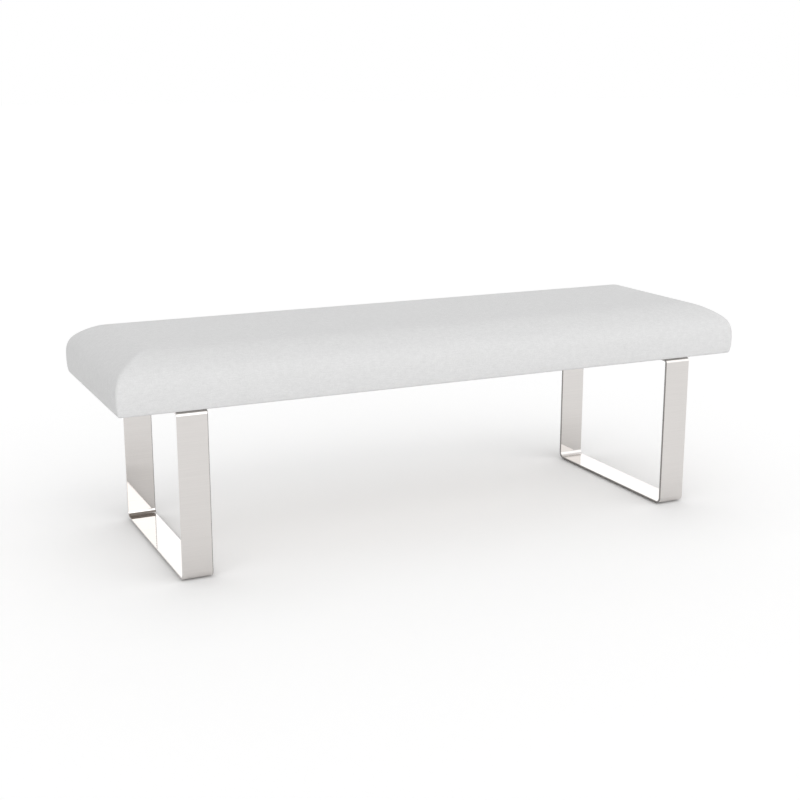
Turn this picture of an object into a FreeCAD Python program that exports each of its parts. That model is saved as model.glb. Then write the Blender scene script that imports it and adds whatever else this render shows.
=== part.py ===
"""Upholstered bench: a crowned fabric seat carried by two closed loops of flat steel bar.

Millimetres, +Z up. The origin is on the floor under the middle of the seat, and the length runs along X.
"""
import FreeCAD
import Part
import math
import os
import re
import Sketcher

# Driving dimensions, each kept in its own cell of the sheet. Angles are in degrees.
DRIVING = {
    # Seat as a whole, over the cover, at the widest line of its sides
    "seat_length": 1454.0,
    "seat_depth": 458.0,
    "seat_thickness": 118.0,
    "underside_height": 351.0,
    # Edge of the cushion: radius of each arc, and the slope of the surface where the arc ends
    "side_radius": 158.0,
    "side_angle": 7.8,
    "shoulder_radius": 42.5,
    "shoulder_angle": 52.0,
    "slope_radius": 158.0,
    "slope_angle": 67.0,
    "brow_radius": 95.0,
    "brow_angle": 88.0,
    "lower_edge_radius": 6.0,
    # Layers of the upholstery
    "cover_thickness": 1.2,
    "batting_thickness": 6.0,
    "edge_foam_thickness": 12.0,
    "layer_gap": 0.2,
    "tuck_width": 18.0,
    "dust_cover_thickness": 0.6,
    "dust_cover_inset": 2.0,
    # Wooden frame
    "rail_height": 45.0,
    "rail_thickness": 22.0,
    "deck_thickness": 12.0,
    "cross_rail_spacing": 330.0,
    "cleat_width": 120.0,
    "cleat_thickness": 24.0,
    "corner_block_gap": 6.0,
    "corner_block_height": 35.0,
    # Leg loops
    "bar_width": 63.5,
    "bar_thickness": 4.8,
    "bar_edge_radius": 0.6,
    "lower_bend_radius": 16.0,
    "upper_bend_radius": 9.0,
    "loop_inset": 118.0,
    "loop_setback": 7.0,
    # Floor glides
    "glide_diameter": 30.0,
    "glide_thickness": 2.0,
    "glide_edge_radius": 0.8,
    "glide_inset": 42.0,
    # Leg bolts, washers and nuts
    "bolt_diameter": 8.0,
    "bolt_length": 30.0,
    "bolt_head_diameter": 14.0,
    "bolt_head_height": 4.4,
    "bolt_head_round": 2.6,
    "bolt_socket_width": 5.0,
    "bolt_socket_depth": 2.4,
    "bolt_hole_play": 0.5,
    "bolt_edge_margin": 16.0,
    "bolt_end_margin": 37.0,
    "washer_diameter": 18.0,
    "washer_thickness": 1.6,
    "nut_flange_diameter": 22.0,
    "nut_flange_thickness": 1.5,
    "nut_barrel_diameter": 10.4,
    "nut_barrel_length": 11.0,
    "nut_thread_play": 0.1,
    "nut_prong_length": 7.0,
    "nut_prong_width": 3.0,
    # Wood screws
    "screw_diameter": 4.5,
    "screw_head_diameter": 8.8,
    "screw_head_height": 2.4,
    "screw_tip_length": 5.0,
    "frame_screw_length": 60.0,
    "frame_screw_margin": 12.0,
    "cleat_screw_spacing": 70.0,
    "deck_screw_length": 34.0,
    # Staples
    "staple_crown": 10.0,
    "staple_leg": 8.0,
    "staple_wire": 1.0,
    "staple_margin": 5.0,
    "cover_staple_pitch": 90.0,
    "dust_staple_pitch": 90.0,
}

# Sizes that follow from the driving ones
WORKED_OUT = {
    "cover_bottom": "underside_height + dust_cover_thickness",
    "frame_bottom": "cover_bottom + cover_thickness",
    "deck_bottom": "frame_bottom + rail_height",
    "deck_top": "deck_bottom + deck_thickness",
    "seat_top": "underside_height + seat_thickness",
    "batting_inset": "cover_thickness + layer_gap",
    "batting_bore": "batting_inset + batting_thickness",
    "foam_inset": "batting_bore + layer_gap",
    "wrap_thickness": "foam_inset + edge_foam_thickness + layer_gap",
    "frame_length": "seat_length - 2 * wrap_thickness",
    "frame_depth": "seat_depth - 2 * wrap_thickness",
    "clear_depth": "frame_depth - 2 * rail_thickness",
    "rail_offset": "(frame_depth - rail_thickness) / 2",
    "end_rail_offset": "(frame_length - rail_thickness) / 2",
    "leg_offset": "seat_length / 2 - loop_inset - bar_width / 2",
    "loop_depth": "seat_depth - 2 * loop_setback",
    "bar_underside": "underside_height - bar_thickness",
    "bolt_across": "bar_width / 2 - bolt_edge_margin",
    "bolt_along": "clear_depth / 2 - bolt_end_margin",
    "washer_bottom": "bar_underside - washer_thickness",
    "cleat_top": "cover_bottom + cleat_thickness",
    "end_rail_inside": "end_rail_offset - rail_thickness / 2",
    "corner_block_side": "end_rail_inside - leg_offset - cleat_width / 2 - corner_block_gap",
    "dust_cover_length": "frame_length - 2 * dust_cover_inset",
    "dust_cover_depth": "frame_depth - 2 * dust_cover_inset",
}

doc = FreeCAD.newDocument("bench")
sheet = doc.addObject("Spreadsheet::Sheet", "sizes")
for row, (alias, size) in enumerate(DRIVING.items(), start=1):
    sheet.set(f"A{row}", alias)
    sheet.set(f"B{row}", str(size))
    sheet.setAlias(f"B{row}", alias)
doc.recompute()

subparts = []


def formula(text):
    """The text as an expression: driving names become cells, worked-out names become their own formulas."""
    def swap(match):
        word = match.group(0)
        if word in WORKED_OUT:
            return "(" + formula(WORKED_OUT[word]) + ")"
        return "sizes." + word if word in DRIVING else word
    return re.sub(r"[a-z_]+", swap, text)


def number(text):
    """The value of a formula, for the few shapes that are worked out in code."""
    return float(sheet.evalExpression(formula(text)))


def bind(item, **properties):
    """Tie properties of a document object to formulas of the sheet."""
    for name, text in properties.items():
        item.setExpression(name, formula(text))


def place(item, x="0", y="0", z="0"):
    """Tie the position of a document object to formulas of the sheet."""
    for axis, text in zip("xyz", (x, y, z)):
        item.setExpression(f"Placement.Base.{axis}", formula(text))


def keep(item, label):
    """Count a document object as a sub-part under its own label."""
    item.Label = label
    subparts.append(item)
    return item


# Building blocks


def box(name, length, width, height, x="0", y="0", z="0"):
    """A box centred on x and y that stands on z."""
    item = doc.addObject("Part::Box", name)
    bind(item, Length=length, Width=width, Height=height)
    place(item, f"{x} - ({length}) / 2", f"{y} - ({width}) / 2", z)
    return item


def cylinder(name, diameter, height, z="0"):
    """An upright cylinder on the Z axis."""
    item = doc.addObject("Part::Cylinder", name)
    bind(item, Radius=f"({diameter}) / 2", Height=height)
    place(item, z=z)
    return item


def cone(name, lower_diameter, upper_diameter, height, z="0"):
    """An upright cone frustum on the Z axis."""
    item = doc.addObject("Part::Cone", name)
    bind(item, Radius1=f"({lower_diameter}) / 2", Radius2=f"({upper_diameter}) / 2", Height=height)
    place(item, z=z)
    return item


def joined(name, items):
    """The union of several objects."""
    item = doc.addObject("Part::MultiFuse", name)
    item.Shapes = items
    return item


def cut(name, base, tool):
    """One object with another taken away."""
    item = doc.addObject("Part::Cut", name)
    item.Base = base
    item.Tool = tool
    return item


def shared(name, first, second):
    """What two objects have in common."""
    item = doc.addObject("Part::Common", name)
    item.Base = first
    item.Tool = second
    return item


def rounded_rim(name, base, radius, height):
    """The base with its circular rim at one height rounded."""
    doc.recompute()
    rims = [index for index, edge in enumerate(base.Shape.Edges, start=1)
            if isinstance(edge.Curve, Part.Circle) and abs(edge.CenterOfMass.z - number(height)) < 1e-6]
    item = doc.addObject("Part::Fillet", name)
    item.Base = base
    item.Edges = [(index, number(radius), number(radius)) for index in rims]
    return item


def group(label, template, places):
    """Copies of one template, as separate solids of one sub-part."""
    doc.recompute()
    item = doc.addObject("Part::Feature", label)
    copies = []
    for spot in places:
        copy = template.Shape.copy()
        copy.Placement = spot.multiply(copy.Placement)
        copies.append(copy)
    item.Shape = Part.makeCompound(copies)
    return item


def pierced(label, blank, groups):
    """A blank with a bore for every solid of the groups that reaches into it."""
    doc.recompute()
    room = blank.Shape.BoundBox
    tools = [solid for item in groups for solid in item.Shape.Solids if room.intersect(solid.BoundBox)]
    bores = doc.addObject("Part::Feature", label + "_bores")
    bores.Shape = Part.makeCompound(tools)
    return keep(cut(label, blank, bores), label)


def at(x, y, z, axis=(0, 0, 1), angle=0):
    """A place, with a turn about an axis."""
    return FreeCAD.Placement(FreeCAD.Vector(x, y, z), FreeCAD.Rotation(FreeCAD.Vector(*axis), angle))


def sketch_on(body, plane, name):
    """An empty sketch on one of the body's own origin planes."""
    sketch = body.newObject("Sketcher::SketchObject", name)
    support = next(item for item in body.Origin.OriginFeatures if item.Role == plane)
    sketch.AttachmentSupport = [(support, "")]
    sketch.MapMode = "FlatFace"
    return sketch


def measure(sketch, name, text, *geometry):
    """A named dimension of a sketch, tied to a formula."""
    index = sketch.addConstraint(Sketcher.Constraint(*geometry, number(text)))
    sketch.renameConstraint(index, name)
    sketch.setExpression(f"Constraints.{name}", formula(text))


def closed_outline(sketch, corners):
    """Straight lines through the corners, joined end to end; returns the index of the first line."""
    points = [FreeCAD.Vector(*corner, 0) for corner in corners]
    lines = [Part.LineSegment(start, end) for start, end in zip(points, points[1:] + points[:1])]
    first = sketch.addGeometry(lines, False)[0]
    for index in range(len(lines)):
        following = first + (index + 1) % len(lines)
        sketch.addConstraint(Sketcher.Constraint("Coincident", first + index, 2, following, 1))
    return first


def pad(body, sketch, height, symmetric=False):
    """A straight pad of a sketch."""
    item = body.newObject("PartDesign::Pad", body.Name + "_pad")
    item.Profile = sketch
    item.SideType = "Symmetric" if symmetric else "One side"
    bind(item, Length=height)
    return item


def board(name, length, width, height, x="0", y="0", z="0"):
    """A rectangular board, centred on x and y, that stands on z."""
    body = doc.addObject("PartDesign::Body", name)
    sketch = sketch_on(body, "XY_Plane", name + "_outline")
    half_length = number(length) / 2
    half_width = number(width) / 2
    corners = [(-half_length, -half_width), (half_length, -half_width),
               (half_length, half_width), (-half_length, half_width)]
    bottom = closed_outline(sketch, corners)
    right, top, left = bottom + 1, bottom + 2, bottom + 3
    for line in (bottom, top):
        sketch.addConstraint(Sketcher.Constraint("Horizontal", line))
    for line in (right, left):
        sketch.addConstraint(Sketcher.Constraint("Vertical", line))
    sketch.addConstraint(Sketcher.Constraint("Symmetric", bottom, 1, right, 2, -1, 1))
    measure(sketch, "length", length, "DistanceX", bottom, 1, bottom, 2)
    measure(sketch, "width", width, "DistanceY", right, 1, right, 2)
    pad(body, sketch, height)
    place(body, x, y, z)
    return body


# Leg loops: one flat bar bent to a closed rectangle


def rounded_rectangle(sketch, name, half_width, low, high, lower_radius, upper_radius):
    """A rectangle with two lower and two upper bends, centred on the upright axis of the sketch."""
    side, bottom, top = number(half_width), number(low), number(high)
    lower, upper = number(lower_radius), number(upper_radius)
    bends = [(side - lower, bottom + lower, lower), (side - upper, top - upper, upper),
             (upper - side, top - upper, upper), (lower - side, bottom + lower, lower)]
    pieces = []
    for quarter, (across, up, radius) in enumerate(bends):
        before_across, before_up, before_radius = bends[quarter - 1]
        turn = math.radians(90 * quarter - 90)
        out = FreeCAD.Vector(math.cos(turn), math.sin(turn), 0)
        before = FreeCAD.Vector(before_across, before_up, 0)
        middle = FreeCAD.Vector(across, up, 0)
        pieces.append(Part.LineSegment(before + out * before_radius, middle + out * radius))
        circle = Part.Circle(middle, FreeCAD.Vector(0, 0, 1), radius)
        pieces.append(Part.ArcOfCircle(circle, turn, turn + math.pi / 2))
    first = sketch.addGeometry(pieces, False)[0]
    lines = range(first, first + 8, 2)
    arcs = range(first + 1, first + 8, 2)
    for index in range(8):
        following = first + (index + 1) % 8
        sketch.addConstraint(Sketcher.Constraint("Tangent", first + index, 2, following, 1))
    for line, direction in zip(lines, ("Horizontal", "Vertical") * 2):
        sketch.addConstraint(Sketcher.Constraint(direction, line))
    sketch.addConstraint(Sketcher.Constraint("Equal", arcs[0], arcs[3]))
    sketch.addConstraint(Sketcher.Constraint("Equal", arcs[1], arcs[2]))
    measure(sketch, name + "_lower_bend", lower_radius, "Radius", arcs[0])
    measure(sketch, name + "_upper_bend", upper_radius, "Radius", arcs[1])
    measure(sketch, name + "_low", low, "DistanceY", -1, 1, lines[0], 1)
    measure(sketch, name + "_right", half_width, "DistanceX", -1, 1, lines[1], 1)
    measure(sketch, name + "_high", high, "DistanceY", -1, 1, lines[2], 1)
    measure(sketch, name + "_left", half_width, "DistanceX", lines[3], 1, -1, 1)


def leg_loop(label, x):
    """The bar between two bent outlines, with the edges of its two cut sides broken."""
    body = doc.addObject("PartDesign::Body", label + "_bar")
    sketch = sketch_on(body, "YZ_Plane", label + "_outline")
    rounded_rectangle(sketch, "outer", "loop_depth / 2", "glide_thickness", "underside_height",
                      "lower_bend_radius", "upper_bend_radius")
    rounded_rectangle(sketch, "inner", "loop_depth / 2 - bar_thickness", "glide_thickness + bar_thickness",
                      "bar_underside", "lower_bend_radius - bar_thickness",
                      "upper_bend_radius - bar_thickness")
    bar = pad(body, sketch, "bar_width", symmetric=True)
    doc.recompute()
    half = number("bar_width / 2")
    edges = [f"Edge{index}" for index, edge in enumerate(bar.Shape.Edges, start=1)
             if all(abs(abs(corner.X) - half) < 1e-6 for corner in edge.Vertexes)
             and edge.BoundBox.XLength < half]
    rounding = body.newObject("PartDesign::Fillet", label + "_edges")
    rounding.Base = (bar, edges)
    bind(rounding, Radius="bar_edge_radius")
    place(body, x=x)
    return body


# Fasteners, each modelled once and then set where it is used


def leg_bolt():
    """A button-head bolt: the head hangs below the origin and the shank stands above it."""
    head = cylinder("bolt_head", "bolt_head_diameter", "bolt_head_height", "-bolt_head_height")
    dome = rounded_rim("bolt_dome", head, "bolt_head_round", "-bolt_head_height")
    shank = cylinder("bolt_shank", "bolt_diameter", "bolt_length")
    socket = doc.addObject("Part::Prism", "bolt_socket")
    socket.Polygon = 6
    bind(socket, Circumradius="bolt_socket_width / (2 * cos(30))", Height="bolt_socket_depth")
    place(socket, z="-bolt_head_height")
    return cut("bolt", joined("bolt_blank", [dome, shank]), socket)


def leg_washer():
    """A flat washer that hangs below the origin."""
    disc = cylinder("washer_disc", "washer_diameter", "washer_thickness", "-washer_thickness")
    hole = cylinder("washer_hole", "bolt_diameter + 2 * bolt_hole_play",
                    "washer_thickness", "-washer_thickness")
    return cut("washer", disc, hole)


def leg_nut():
    """A nut for wood: a flange on the origin, a threaded barrel and four prongs below it."""
    flange = cylinder("nut_flange", "nut_flange_diameter", "nut_flange_thickness")
    barrel = cylinder("nut_barrel", "nut_barrel_diameter", "nut_barrel_length", "-nut_barrel_length")
    reach = "(nut_flange_diameter - nut_flange_thickness) / 2 - nut_flange_thickness"
    prongs = []
    for name, x, y in (("east", 1, 0), ("north", 0, 1), ("west", -1, 0), ("south", 0, -1)):
        sides = ("nut_flange_thickness", "nut_prong_width")
        if y:
            sides = sides[::-1]
        prongs.append(box(f"nut_prong_{name}", *sides, "nut_prong_length",
                          f"{x} * ({reach})", f"{y} * ({reach})", "-nut_prong_length"))
    thread = cylinder("nut_thread", "bolt_diameter + 2 * nut_thread_play",
                      "nut_barrel_length + nut_flange_thickness", "-nut_barrel_length")
    return cut("nut", joined("nut_blank", [flange, barrel] + prongs), thread)


def wood_screw(name, length):
    """A countersunk screw that points down, with the top of its head on the origin."""
    shank_length = f"{length} - screw_head_height - screw_tip_length"
    head = cone(name + "_head", "screw_diameter", "screw_head_diameter", "screw_head_height",
                "-screw_head_height")
    shank = cylinder(name + "_shank", "screw_diameter", shank_length, f"screw_tip_length - {length}")
    tip = cone(name + "_tip", "screw_diameter / 4", "screw_diameter", "screw_tip_length", f"-{length}")
    return joined(name, [head, shank, tip])


def staple(name):
    """A staple with its crown along X below the origin and its two legs above it."""
    crown = box(name + "_crown", "staple_crown", "staple_wire", "staple_wire", z="-staple_wire")
    legs = [box(f"{name}_{side}_leg", "staple_wire", "staple_wire", "staple_leg",
                x=f"{sign} * (staple_crown - staple_wire) / 2")
            for side, sign in (("left", -1), ("right", 1))]
    return joined(name, [crown] + legs)


def bolt_places(height):
    """Four places on each leg loop, at one height."""
    across, along = number("bolt_across"), number("bolt_along")
    leg, up = number("leg_offset"), number(height)
    return [at(side * leg + x, y, up) for side in (-1, 1) for x in (-across, across) for y in (-along, along)]


def frame_screw_places():
    """Screws through the long rails into the ends of the rails and cleats between them."""
    low = number("frame_bottom + frame_screw_margin")
    high = number("deck_bottom - frame_screw_margin")
    middle = number("cover_bottom + cleat_thickness / 2")
    leg, half = number("leg_offset"), number("cleat_screw_spacing / 2")
    outer, end, spacing = number("frame_depth / 2"), number("end_rail_offset"), number("cross_rail_spacing")
    spots = [(x, z) for x in (-end, -spacing, 0, spacing, end) for z in (low, high)]
    spots += [(side * leg + x, middle) for side in (-1, 1) for x in (-half, half)]
    front = [at(x, -outer, z, (1, 0, 0), 90) for x, z in spots]
    rear = [at(x, outer, z, (1, 0, 0), -90) for x, z in spots]
    return front + rear


def deck_screw_places():
    """Screws down into the long rails, between their joints, and into each rail that crosses."""
    up, rail, inner = number("deck_top"), number("rail_offset"), number("clear_depth / 4")
    joints = [0, number("cross_rail_spacing"), number("leg_offset"), number("end_rail_offset")]
    bays = [(near + far) / 2 for near, far in zip(joints, joints[1:])]
    spots = [(side * bay, y) for side in (-1, 1) for bay in bays for y in (-rail, rail)]
    crossing = [-joints[3], -joints[1], 0, joints[1], joints[3]]
    spots += [(x, y) for x in crossing for y in (-inner, inner)]
    return [at(x, y, up) for x, y in spots]


def run(length, pitch):
    """Evenly spaced places along a run, one pitch apart and centred on it."""
    count = int(length // pitch)
    return [(index - (count - 1) / 2) * pitch for index in range(count)]


def staple_places(half_length, half_depth, pitch, height, clear_of_legs):
    """Staples round a rectangle, with their crowns along its sides."""
    across, along = number(half_length), number(half_depth)
    step, up = number(pitch), number(height)
    leg, reach = number("leg_offset"), number("(bar_width + staple_crown) / 2 + staple_margin")
    long_sides = run(2 * across, step)
    if clear_of_legs:
        long_sides = [x for x in long_sides if abs(abs(x) - leg) > reach]
    places = [at(x, y, up) for x in long_sides for y in (-along, along)]
    places += [at(x, y, up, angle=90) for y in run(2 * along, step) for x in (-across, across)]
    return places


# Upholstery: every layer is the same cushion, drawn in by the layers over it


def polar(centre, radius, angle):
    """A point at a distance and an angle from a centre."""
    return centre[0] + radius * math.cos(angle), centre[1] + radius * math.sin(angle)


def edge_arcs(half_width, inset, open_below):
    """Arcs of one upholstered edge, from the underside to the crown: centre, radius, first and last angle."""
    names = ("side", "shoulder", "slope", "brow")
    radii = [number(name + "_radius") for name in names]
    ends = [math.radians(number(name + "_angle")) for name in names]
    steps = list(zip(radii, [0.0] + ends[:-1], ends))
    rise = sum(radius * (math.sin(last) - math.sin(first)) for radius, first, last in steps)
    draw = sum(radius * (math.cos(first) - math.cos(last)) for radius, first, last in steps)
    crown_rise = (number("seat_depth / 2") - draw) * (1 - math.sin(ends[-1])) / math.cos(ends[-1])
    widest = number("seat_top") - crown_rise - rise
    drop = widest - number("cover_bottom")
    corner = number("lower_edge_radius")
    arcs = []
    if open_below:
        begin = -math.asin(drop / (radii[0] - inset))
    else:
        begin = -math.asin((drop - corner) / (radii[0] - corner))
        lower_centre = polar((half_width - radii[0], widest), radii[0] - corner, begin)
        arcs.append((lower_centre, corner - inset, -math.pi / 2, begin))
    joint = (half_width, widest)
    for radius, first, last in steps:
        centre = polar(joint, -radius, first)
        arcs.append((centre, radius - inset, begin, last))
        joint = polar(centre, radius, last)
        begin = last
    return arcs


def cushion_section(name, half_width, inset, open_below, across):
    """A face with a flat underside, two upholstered edges and the crown between them."""
    def arc(points):
        return Part.Arc(*[across * u + FreeCAD.Vector(0, 0, up) for u, up in points]).toShape()

    arcs = edge_arcs(number(half_width), number(inset), open_below)
    edges = []
    for centre, radius, first, last in arcs:
        right = [polar(centre, radius, angle) for angle in (first, (first + last) / 2, last)]
        edges.append(arc(right))
        edges.append(arc([(-u, up) for u, up in right]))
    centre, radius, first, last = arcs[-1]
    brow, brow_height = polar(centre, radius, last)
    crown_height = brow_height + brow * (1 - math.sin(last)) / math.cos(last)
    edges.append(arc([(brow, brow_height), (0, crown_height), (-brow, brow_height)]))
    centre, radius, first, last = arcs[0]
    foot, foot_height = polar(centre, radius, first)
    ends = [across * u + FreeCAD.Vector(0, 0, foot_height) for u in (-foot, foot)]
    edges.append(Part.LineSegment(*ends).toShape())
    section = doc.addObject("Part::Feature", name)
    section.Shape = Part.Face(Part.Wire(Part.__sortEdges__(edges)))
    return section


def cushion_form(name, inset, open_below=False):
    """The crowned cushion with mitred corners: two upholstered sections, run past each other square."""
    prisms = []
    for way, half_width, across, along, length in (
            ("depth", "seat_depth / 2", FreeCAD.Vector(0, 1, 0), FreeCAD.Vector(1, 0, 0), "2 * seat_length"),
            ("length", "seat_length / 2", FreeCAD.Vector(1, 0, 0), FreeCAD.Vector(0, 1, 0),
             "2 * seat_depth")):
        prism = doc.addObject("Part::Extrusion", f"{name}_{way}_prism")
        prism.Base = cushion_section(f"{name}_{way}_section", half_width, inset, open_below, across)
        prism.DirMode = "Custom"
        prism.Dir = along
        prism.Symmetric = True
        prism.Solid = True
        bind(prism, LengthFwd=length)
        prisms.append(prism)
    return shared(name, *prisms)


# Fasteners in their places

leg_bolts = keep(group("leg_bolts", leg_bolt(), bolt_places("washer_bottom")), "leg_bolts")
leg_washers = keep(group("leg_washers", leg_washer(), bolt_places("bar_underside")), "leg_washers")
leg_nuts = keep(group("leg_nuts", leg_nut(), bolt_places("cleat_top")), "leg_nuts")
bolt_hole = cylinder("bolt_hole", "bolt_diameter + 2 * bolt_hole_play", "cleat_top - bar_underside")
bolt_holes = group("bolt_holes", bolt_hole, bolt_places("bar_underside"))
frame_screw = wood_screw("frame_screw", "frame_screw_length")
frame_screws = keep(group("frame_screws", frame_screw, frame_screw_places()), "frame_screws")
deck_screw = wood_screw("deck_screw", "deck_screw_length")
deck_screws = keep(group("deck_screws", deck_screw, deck_screw_places()), "deck_screws")
cover_staples = keep(group("cover_staples", staple("cover_staple"), staple_places(
    "frame_length / 2 - tuck_width + staple_margin", "frame_depth / 2 - tuck_width + staple_margin",
    "cover_staple_pitch", "cover_bottom + staple_wire", False)), "cover_staples")
dust_cover_staples = keep(group("dust_cover_staples", staple("dust_cover_staple"), staple_places(
    "dust_cover_length / 2 - staple_margin", "dust_cover_depth / 2 - staple_margin",
    "dust_staple_pitch", "underside_height", True)), "dust_cover_staples")
staples = [cover_staples, dust_cover_staples]

# Leg loops and floor glides

for label, side in (("left_leg_loop", "-1"), ("right_leg_loop", "1")):
    pierced(label, leg_loop(label, f"{side} * leg_offset"), [bolt_holes])

glide_disc = cylinder("glide_disc", "glide_diameter", "glide_thickness")
glide = rounded_rim("glide", glide_disc, "glide_edge_radius", "0")
glide_reach = number("loop_depth / 2 - glide_inset")
glide_places = [at(side * number("leg_offset"), y, 0)
                for side in (-1, 1) for y in (-glide_reach, glide_reach)]
keep(group("floor_glides", glide, glide_places), "floor_glides")

# Wooden frame

for label, side in (("front_rail", "-1"), ("rear_rail", "1")):
    rail = board(label + "_blank", "frame_length", "rail_thickness", "rail_height",
                 y=f"{side} * rail_offset", z="frame_bottom")
    pierced(label, rail, [frame_screws, deck_screws] + staples)

for label, x in (("left_end_rail", "-end_rail_offset"), ("left_cross_rail", "-cross_rail_spacing"),
                 ("centre_cross_rail", "0"), ("right_cross_rail", "cross_rail_spacing"),
                 ("right_end_rail", "end_rail_offset")):
    rail = board(label + "_blank", "rail_thickness", "clear_depth", "rail_height", x=x, z="frame_bottom")
    pierced(label, rail, [frame_screws, deck_screws] + staples)

for label, side in (("left_leg_cleat", "-1"), ("right_leg_cleat", "1")):
    cleat = board(label + "_blank", "cleat_width", "clear_depth", "cleat_thickness",
                  x=f"{side} * leg_offset", z="cover_bottom")
    pierced(label, cleat, [bolt_holes, leg_nuts, frame_screws])


def corner_block():
    """A right-angled glue block with its square corner on the origin."""
    body = doc.addObject("PartDesign::Body", "corner_block")
    sketch = sketch_on(body, "XY_Plane", "corner_block_outline")
    side = number("corner_block_side")
    first = closed_outline(sketch, [(0, 0), (-side, 0), (0, -side)])
    sketch.addConstraint(Sketcher.Constraint("Coincident", first, 1, -1, 1))
    sketch.addConstraint(Sketcher.Constraint("Horizontal", first))
    sketch.addConstraint(Sketcher.Constraint("Vertical", first + 2))
    measure(sketch, "along", "corner_block_side", "DistanceX", first, 2, first, 1)
    measure(sketch, "across", "corner_block_side", "DistanceY", first + 2, 1, first + 2, 2)
    pad(body, sketch, "corner_block_height")
    return body


block_x = number("end_rail_inside")
block_y = number("clear_depth / 2")
block_places = [at(x * block_x, y * block_y, number("frame_bottom"), angle=turn)
                for x, y, turn in ((1, 1, 0), (-1, 1, 90), (-1, -1, 180), (1, -1, 270))]
keep(group("corner_blocks", corner_block(), block_places), "corner_blocks")

deck = board("seat_deck_blank", "frame_length", "frame_depth", "deck_thickness", z="deck_bottom")
pierced("seat_deck", deck, [deck_screws])

# Foam, batting, cover and dust cover

foam_form = cushion_form("foam_form", "foam_inset", open_below=True)
slab_room = box("slab_room", "seat_length", "seat_depth", "seat_thickness", z="deck_top")
keep(shared("seat_foam", foam_form, slab_room), "seat_foam")

strip_height = "deck_top - frame_bottom - 2 * layer_gap"
strip_bottom = "frame_bottom + layer_gap"
for label, side in (("front_edge_foam", "-1"), ("rear_edge_foam", "1")):
    room = box(label + "_room", "seat_length", "wrap_thickness", strip_height,
               y=f"{side} * (frame_depth / 2 + layer_gap + wrap_thickness / 2)", z=strip_bottom)
    keep(shared(label, foam_form, room), label)
for label, side in (("left_edge_foam", "-1"), ("right_edge_foam", "1")):
    room = box(label + "_room", "wrap_thickness", "frame_depth", strip_height,
               x=f"{side} * (frame_length / 2 + layer_gap + wrap_thickness / 2)", z=strip_bottom)
    keep(shared(label, foam_form, room), label)

batting_form = cushion_form("batting_form", "batting_inset")
batting_hollow = cushion_form("batting_hollow", "batting_bore", open_below=True)
keep(cut("batting_wrap", batting_form, batting_hollow), "batting_wrap")

cover_form = cushion_form("cover_form", "0")
cover_hollow = cushion_form("cover_hollow", "cover_thickness")
tuck_opening = box("tuck_opening", "frame_length - 2 * tuck_width", "frame_depth - 2 * tuck_width",
                   "rail_height", z="underside_height")
cover_shell = cut("cover_shell", cover_form, joined("cover_room", [cover_hollow, tuck_opening]))
pierced("seat_cover", cover_shell, staples)

dust_sheet = box("dust_sheet", "dust_cover_length", "dust_cover_depth", "dust_cover_thickness",
                 z="underside_height")
pierced("dust_cover", dust_sheet, [bolt_holes, dust_cover_staples])

# Nothing is written unless every object is sound

doc.recompute()
for item in doc.Objects:
    if "Invalid" in item.State or "Error" in item.State:
        raise RuntimeError(f"{item.Label} failed: {item.State}")
for item in subparts:
    if item.Shape.isNull() or not item.Shape.isValid() or not item.Shape.Solids:
        raise RuntimeError(f"{item.Label} has no valid solid")

os.makedirs("parts", exist_ok=True)
for item in subparts:
    item.Shape.exportStep(os.path.join("parts", item.Label + ".step"))
    print(item.Label, len(item.Shape.Solids), round(item.Shape.Volume))
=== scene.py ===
"""Looks of an upholstered bench on two flat-bar leg loops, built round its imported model, in metres."""

import math

import bpy
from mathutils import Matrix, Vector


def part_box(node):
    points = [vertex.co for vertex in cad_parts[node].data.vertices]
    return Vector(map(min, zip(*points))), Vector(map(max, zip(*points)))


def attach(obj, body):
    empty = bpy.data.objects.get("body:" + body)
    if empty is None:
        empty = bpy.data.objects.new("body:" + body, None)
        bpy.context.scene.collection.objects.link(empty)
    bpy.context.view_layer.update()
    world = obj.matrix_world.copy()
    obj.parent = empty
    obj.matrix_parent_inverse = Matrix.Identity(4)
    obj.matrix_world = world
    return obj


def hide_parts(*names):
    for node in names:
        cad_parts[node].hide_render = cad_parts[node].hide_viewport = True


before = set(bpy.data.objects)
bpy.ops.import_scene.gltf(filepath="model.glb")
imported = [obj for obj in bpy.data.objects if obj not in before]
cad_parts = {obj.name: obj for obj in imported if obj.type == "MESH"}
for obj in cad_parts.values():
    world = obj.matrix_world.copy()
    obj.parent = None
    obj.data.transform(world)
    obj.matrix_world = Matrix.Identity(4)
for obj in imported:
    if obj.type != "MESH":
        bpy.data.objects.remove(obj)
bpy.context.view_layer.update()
scene = bpy.context.scene

MM = 0.001

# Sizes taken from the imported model

cover_low, cover_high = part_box("seat_cover")
deck_low, deck_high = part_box("seat_deck")
dust_low, dust_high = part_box("dust_cover")
cleat_low, cleat_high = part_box("right_leg_cleat")
SEAT_LENGTH = cover_high.x - cover_low.x
SEAT_DEPTH = cover_high.y - cover_low.y
SEAT_TOP = cover_high.z
COVER_BOTTOM = cover_low.z
FRAME_LENGTH = deck_high.x - deck_low.x
FRAME_DEPTH = deck_high.y - deck_low.y

# Sizes repeated from the part's source

EDGE_RADII = (158 * MM, 42.5 * MM, 158 * MM, 95 * MM)
EDGE_ANGLES = (7.8, 52.0, 67.0, 88.0)
LOWER_EDGE_RADIUS = 6 * MM
COVER_THICKNESS = 1.2 * MM
BATTING_THICKNESS = 6 * MM
LAYER_GAP = 0.2 * MM
TUCK_WIDTH = 18 * MM
BAR_THICKNESS = 4.8 * MM
BAR_EDGE_RADIUS = 0.6 * MM
LOWER_BEND_RADIUS = 16 * MM
UPPER_BEND_RADIUS = 9 * MM
CROSS_RAIL_SPACING = 330 * MM
RAIL_THICKNESS = 22 * MM

# Finer sizes of the soft forms

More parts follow.
